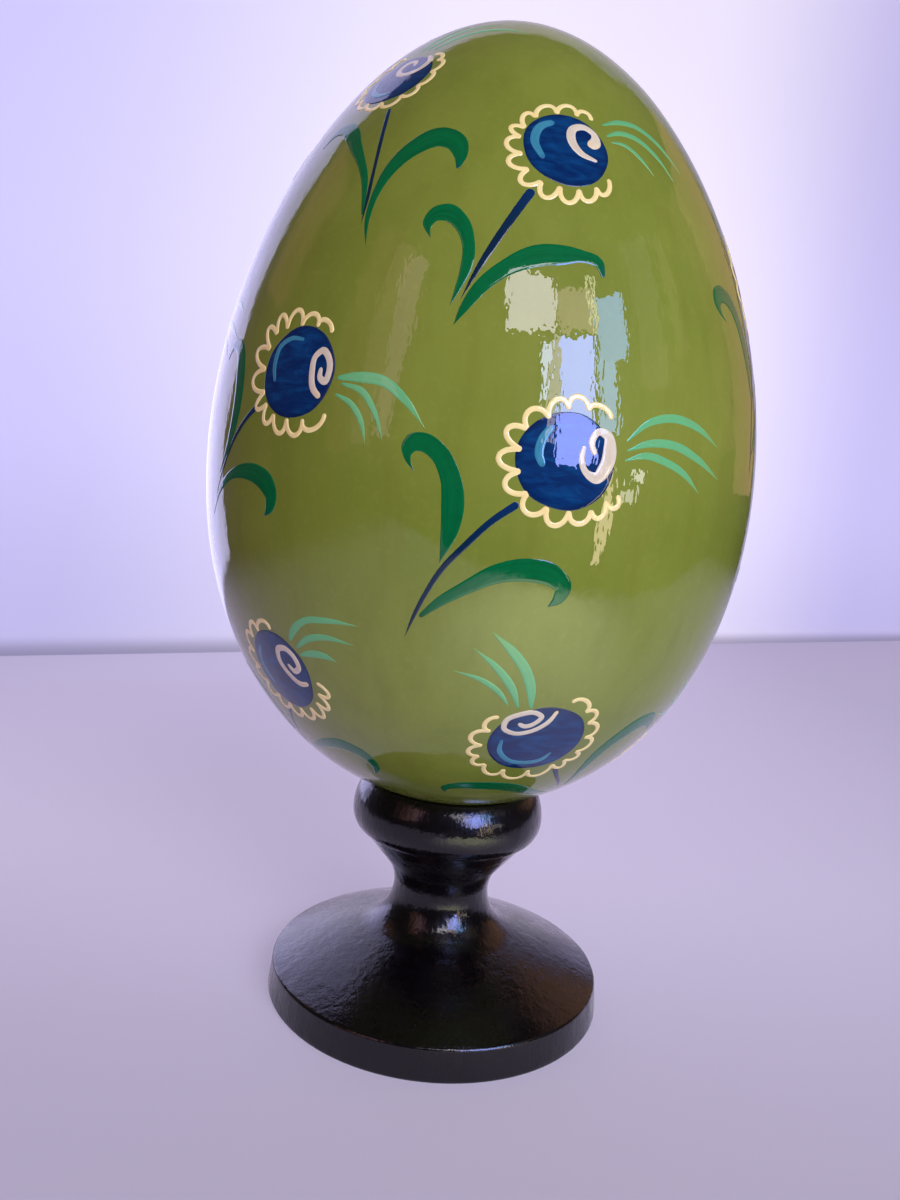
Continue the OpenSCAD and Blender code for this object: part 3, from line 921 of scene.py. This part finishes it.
WALL_POINT = Vector((-0.183, 0.226, 0))    # where the backdrop meets the floor, left of the egg
WALL_TURN = math.radians(35.6)
WALL_ALONG = Vector((math.cos(WALL_TURN), math.sin(WALL_TURN), 0))
WALL_BACK = Vector((-math.sin(WALL_TURN), math.cos(WALL_TURN), 0))
WALL_ENDS = ((-0.132, 0.5, 0.045), (0.72, 1.1, 0))    # distance along, height and lean of each end
WALL_BEND, BEND_POINTS = 0.012, 9
WALL_LIFT = 0.0002                         # keeps the backdrop's foot just clear of the floor
FLOOR_REACH = 2.0

DIFFUSE_GLOW = 0.5                         # how much of the stage's glow lights the parts
PALE_REACH = (0.05, 0.26)                  # painted shade: between these distances from its palest line it turns darker
FRONT_FADE = (0.06, -0.06, 0, 0.42)        # painted shade: between these y it falls off towards FRONT_SHADE by so much
FRONT_SHADE = (0.22, 0.205, 0.29, 1)
PAPER_SHADE = 0.22                         # how much darker it is by other light than by its own glow

FLOOR_GLOW = 0.66
TABLE_EDGE, EDGE_FADE = 0.165, 0.03        # in reflections it ends this far in front along the backdrop's normal, with a painted dark room past it
FLOOR_SIDES = ((-0.13, -0.30), (0.2, 0.6))    # between these x it fades, in reflections, to the painted dark room
# the painted reflection of a dark room, which mirrored rays see past the floor's edges
DARK_ROOM_REFLECTION = (0.02, 0.018, 0.012, 1)
SUN_PATCH = (0.065, -0.115, 0)             # a painted pool of sunlight on it, in front, seen only in the lacquer's reflections
SUN_FADE = (0.11, 0.02)                    # between these distances from there the painted sunlight brightens
SUN_COLOUR = (0.62, 0.64, 0.44, 1)
SUN_GLOW = 3.0

BACKDROP_GLOW = 0.62
SHINE_ACROSS = (-0.04, -0.22, 0.38, 2.8)   # between these x its painted reflection, a glow only mirrored rays see, changes between these
SHINE_UP = (0.05, 0.3, 1.0, 0.5)           # and between these heights by these factors
SEAM_SHADE = (0, 0.007, 0.62, 0)           # painted shade at the seam: from and to these heights it darkens by so much
# painted shade low on the backdrop, and towards its top
FOOT_SHADE = (0, 0.11, 0.16, 0)
TOP_SHADE = (0.14, 0.4, 0, 0.16)
# the colour of the backdrop's painted shade
WALL_SHADE = srgb(120, 116, 140)


def stage_start(name, middle, ends, palest, glow):
    """Matt paper that glows a little, palest near one x and darker towards the front by painted shade: its
    finish, its place as x, y and z, a value that is 1 to mirrored rays, its colour and its glow's strength."""
    finish = Finish(name, {"Roughness": 0.9, "Specular IOR Level": 0.0})
    place = finish.node("ShaderNodeSeparateXYZ", {"Vector": finish.place}).outputs
    rays = finish.node("ShaderNodeLightPath", {}).outputs
    # painted shade: the paper darkens away from its palest x and towards the front
    sideways = finish.math("ABSOLUTE", finish.math("SUBTRACT", place[0], palest), 0.0)
    colour = finish.mix(finish.remap(sideways, *PALE_REACH), middle, ends)
    colour = finish.mix(finish.remap(place[1], *FRONT_FADE), colour, FRONT_SHADE)
    held_back = finish.math("MULTIPLY", rays["Is Diffuse Ray"], glow * (1 - DIFFUSE_GLOW))
    strength = finish.math("SUBTRACT", glow, held_back)
    return finish, place, rays["Is Glossy Ray"], colour, strength


def stage_end(finish, colour, strength):
    """The stage material, once its colour and glow are known."""
    finish.link(strength, "Emission Strength")
    finish.link(colour, "Emission Color")
    finish.colour(finish.mix(PAPER_SHADE, colour, (0, 0, 0, 1)))
    return finish.material


def floor_material():
    """The pale floor. Mirrored, it shows a painted pool of sunlight on a patch in front and a painted dark
    room past its edges.
    """
    finish, place, mirrored, colour, strength = stage_start(
        "pale_floor", srgb(192, 185, 215), srgb(172, 166, 196), -0.04, FLOOR_GLOW)
    inputs = {0: finish.place, 1: WALL_BACK}
    back = finish.node("ShaderNodeVectorMath", inputs, operation="DOT_PRODUCT").outputs["Value"]
    # painted reflection: mirrored rays see a dark room past the table edge and sides
    beyond = finish.remap(back, -TABLE_EDGE, -TABLE_EDGE - EDGE_FADE)
    for near, far in FLOOR_SIDES:
        beyond = finish.math("MAXIMUM", beyond, finish.remap(place[0], near, far))
    # painted reflection: a pool of sunlight in front, seen only by mirrored rays
    inputs = {0: finish.place, 1: SUN_PATCH}
    from_patch = finish.node("ShaderNodeVectorMath", inputs, operation="DISTANCE").outputs["Value"]
    lit = finish.math("MULTIPLY", mirrored, finish.remap(from_patch, *SUN_FADE))
    colour = finish.mix(lit, colour, SUN_COLOUR)
    colour = finish.mix(finish.math("MULTIPLY", mirrored, beyond), colour, DARK_ROOM_REFLECTION)
    strength = finish.math("ADD", strength, finish.math("MULTIPLY", lit, SUN_GLOW))
    return stage_end(finish, colour, strength)


def backdrop_material():
    """The pale backdrop, with painted shade at its seam, low down and towards its top. Mirrored, its painted
    reflection is dim behind the egg and brightest low down at its left end.
    """
    finish, place, mirrored, colour, strength = stage_start(
        "pale_backdrop", srgb(237, 232, 255), srgb(194, 191, 240), 0.05, BACKDROP_GLOW)
    # painted reflection: extra glow that only mirrored rays see, brightest low at the left end
    shine = finish.math("MULTIPLY", finish.remap(place[0], *SHINE_ACROSS), finish.remap(place[2], *SHINE_UP))
    extra = finish.math("MULTIPLY", mirrored, finish.math("SUBTRACT", shine, BACKDROP_GLOW))
    # painted shade at the seam, low down and towards the top
    for shade in (SEAM_SHADE, FOOT_SHADE, TOP_SHADE):
        colour = finish.mix(finish.remap(place[2], *shade), colour, WALL_SHADE)
    return stage_end(finish, colour, finish.math("ADD", strength, extra))


def make_sheet(name, rows, material):
    """A smooth sheet through rows of points, kept on the stage."""
    width = len(rows[0])
    faces = []
    for row in range(len(rows) - 1):
        for k in range(width - 1):
            a = row * width + k
            faces.append((a, a + 1, a + 1 + width, a + width))
    mesh = bpy.data.meshes.new(name)
    mesh.from_pydata([tuple(p) for row in rows for p in row], [], faces)
    mesh.polygons.foreach_set("use_smooth", [True] * len(mesh.polygons))
    mesh.materials.append(material)
    sheet = bpy.data.objects.new(name, mesh)
    bpy.context.scene.collection.objects.link(sheet)


def make_stage():
    """A pale floor and a pale backdrop that rises behind it in a soft bend."""
    sides = (-FLOOR_REACH, FLOOR_REACH)
    make_sheet("floor", [[Vector((x, y, 0)) for x in sides] for y in sides], floor_material())
    rows = []
    for reach, top, lean in WALL_ENDS:
        start = WALL_POINT + WALL_ALONG * reach
        row = []
        for angle in np.linspace(0, math.pi / 2, BEND_POINTS):
            out, rise = WALL_BEND * (1 - math.sin(angle)), WALL_BEND * (1 - math.cos(angle))
            row.append(start - WALL_BACK * out + Vector((0, 0, rise + WALL_LIFT)))
        rows.append(row + [start + WALL_ALONG * lean + Vector((0, 0, top))])
    make_sheet("backdrop", rows, backdrop_material())


LIGHT_REACH = 1.0                          # how far the lights usually stand from the egg
POST_REACH = 0.24                          # nearer, so that the floor doesn't hide the light


def soft_light(name, azimuths, elevations, radiance, lights=False, reach=LIGHT_REACH):
    """A flat soft light that fills a window of directions as seen from the egg, with its radiance as
    red, green and blue. Azimuth 0 is the front and turns to the right. It either lights surfaces or
    only shows in reflections."""
    azimuth, elevation = (math.radians(sum(pair) / 2) for pair in (azimuths, elevations))
    towards = Vector((math.sin(azimuth) * math.cos(elevation), -math.cos(azimuth) * math.cos(elevation),
                      math.sin(elevation)))
    light = bpy.data.lights.new(name, "AREA")
    light.shape = "RECTANGLE"
    half_wide, half_high = (math.radians(pair[1] - pair[0]) / 2 for pair in (azimuths, elevations))
    light.size = 2 * reach * math.tan(half_wide) * math.cos(elevation)
    light.size_y = 2 * reach * math.tan(half_high)
    light.color = [part / max(radiance) for part in radiance]
    light.energy = max(radiance) * light.size * light.size_y * math.pi
    made = bpy.data.objects.new(name, light)
    made.location = Vector((0, 0, EGG_MIDDLE * MM)) + towards * reach
    made.rotation_euler = (-towards).to_track_quat("-Z", "Y").to_euler()
    made.visible_camera = False
    made.visible_glossy = not lights
    made.visible_diffuse = lights
    bpy.context.scene.collection.objects.link(made)


def make_lights():
    """A soft key light from the front right, and what the lacquer mirrors: a tall window with its
    curtain and frame on the right, and dim warm walls at both sides."""
    soft_light("key", (10, 46), (-3, 37), (6.8, 6.8, 6.6), lights=True)
    soft_light("window_main", (28, 43.5), (5, 31), (6.4, 7.8, 20))
    soft_light("window_left_strip", (20.5, 23.5), (17, 30), (9, 10, 14))
    soft_light("window_frame", (24, 27.5), (8, 31), (5.0, 4.3, 4.8))
    soft_light("window_right", (45.5, 58), (25, 38), (2.4, 4.5, 9))
    soft_light("window_right_low", (45.5, 52), (11, 25), (3.0, 5.2, 10))
    soft_light("blind_edge", (43.2, 45), (31, 42), (7, 6.5, 4.5))
    soft_light("curtain", (5, 26), (32, 43), (8.2, 7.4, 8.2))
    soft_light("blind", (27, 44), (32, 40), (3.2, 2.2, 2.0))
    soft_light("window_post", (44.5, 48), (-18, 3), (8.5, 6.4, 4.3), reach=POST_REACH)
    soft_light("sill_high", (58, 65), (2, 4), (9, 8.5, 8))
    soft_light("sill_low", (56, 61), (-2, 0.5), (7, 6.5, 6))
    soft_light("left_door", (-41, -33), (6, 43), (1.5, 0.8, 1.0))
    soft_light("left_door_side", (-50, -41), (4, 45), (0.7, 0.34, 0.3))
    soft_light("left_wall", (-62, -50), (2, 47), (0.3, 0.13, 0.08))
    soft_light("left_bounce", (-112, -40), (-5, 50), (0.4, 0.1, 0.08), lights=True)
    soft_light("right_bounce", (96, 146), (0, 46), (0.6, 0.34, 0.2), lights=True)
    soft_light("right_wall", (118, 146), (2, 44), (0.46, 0.23, 0.15))
    soft_light("right_wall_side", (104, 118), (8, 44), (0.22, 0.11, 0.06))
    soft_light("right_curtain", (64, 78), (20, 46), (0.4, 0.34, 0.27))
    soft_light("right_gap", (83, 89), (24, 44), (0.4, 0.3, 0.18))
    soft_light("left_shade", (-120, -98), (24, 46), (0.28, 0.12, 0.06))


ROOM_LIGHT = (0.07, 0.07, 0.075, 1)
ROOM_MIRRORED = (0.045, 0.04, 0.03, 1)
SURROUND = srgb(222, 214, 246)


def make_world():
    """The room: dim to light by, dark in reflections, and a plain pale surround to the camera."""
    world = bpy.data.worlds.new("room")
    world.use_nodes = True
    tree = world.node_tree
    rays = tree.nodes.new("ShaderNodeLightPath").outputs
    unseen, seen = tree.nodes.new("ShaderNodeMix"), tree.nodes.new("ShaderNodeMix")
    for choice, ray, colour in ((unseen, "Is Glossy Ray", ROOM_MIRRORED), (seen, "Is Camera Ray", SURROUND)):
        choice.data_type = "RGBA"
        tree.links.new(rays[ray], choice.inputs[0])
        choice.inputs[7].default_value = colour
    unseen.inputs[6].default_value = ROOM_LIGHT
    tree.links.new(unseen.outputs[2], seen.inputs[6])
    tree.links.new(seen.outputs[2], tree.nodes["Background"].inputs["Color"])
    bpy.context.scene.world = world


CAMERA_PLACE = Vector((0, -0.1354, 0.0745))
CAMERA_YAW, CAMERA_PITCH, CAMERA_ROLL = (math.radians(a) for a in (-1.07, 5.87, 5.15))
LENS, SENSOR_WIDTH = 27.06, 36             # in millimetres
NEAREST, FARTHEST = 0.005, 10


def make_camera():
    """A hand-held phone close in front of the egg, looking slightly down and leaning to one side."""
    forward = Vector((math.sin(CAMERA_YAW) * math.cos(CAMERA_PITCH),
                      math.cos(CAMERA_YAW) * math.cos(CAMERA_PITCH), -math.sin(CAMERA_PITCH)))
    level = Vector((math.cos(CAMERA_YAW), -math.sin(CAMERA_YAW), 0))
    above = level.cross(forward)
    right = math.cos(CAMERA_ROLL) * level + math.sin(CAMERA_ROLL) * above
    up = math.cos(CAMERA_ROLL) * above - math.sin(CAMERA_ROLL) * level
    lens = bpy.data.cameras.new("camera")
    lens.lens = LENS
    lens.sensor_width = SENSOR_WIDTH
    lens.clip_start, lens.clip_end = NEAREST, FARTHEST
    camera = bpy.data.objects.new("camera", lens)
    axes = Matrix((right, up, -forward)).transposed().to_4x4()
    camera.matrix_world = Matrix.Translation(CAMERA_PLACE) @ axes
    bpy.context.scene.collection.objects.link(camera)
    bpy.context.scene.camera = camera


make_camera()
make_egg()
make_stand()
make_flowers()
make_stage()
make_lights()
make_world()
bpy.context.scene.view_settings.view_transform = "Standard"
